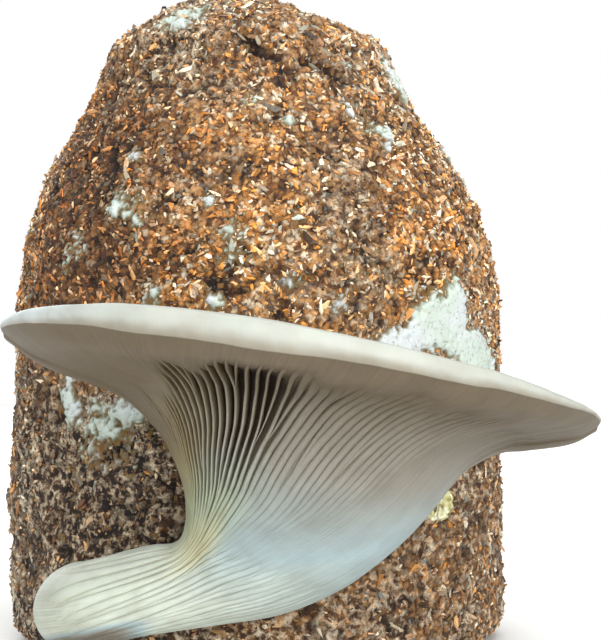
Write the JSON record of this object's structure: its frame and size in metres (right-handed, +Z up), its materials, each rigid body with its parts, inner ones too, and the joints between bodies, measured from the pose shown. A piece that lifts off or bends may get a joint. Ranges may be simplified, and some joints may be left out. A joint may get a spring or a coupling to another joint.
{
  "type": "oyster mushroom on a sawdust grow block",
  "caption": "Oyster mushroom with a wide gilled cap growing from a standing sawdust block, with stunted pins on the block's side",
  "frame": {"origin": "middle of the block's flat base", "axes": "+Z up, the cap and its gills face -Y, and the stem leaves the block on the -X side"},
  "size_m": [0.1231, 0.1861, 0.147],
  "materials": {
    "colonised_sawdust": "rough packed sawdust bound by pale mycelium",
    "mushroom_flesh": "smooth, matte, slightly moist pale flesh",
    "pin_flesh": "matte yellowed flesh with dry brown tips"
  },
  "bodies": {
    "root": {"substrate_block": "colonised_sawdust", "oyster_mushroom": "mushroom_flesh", "stunted_pin_cluster": "pin_flesh"}
  },
  "joints": []
}
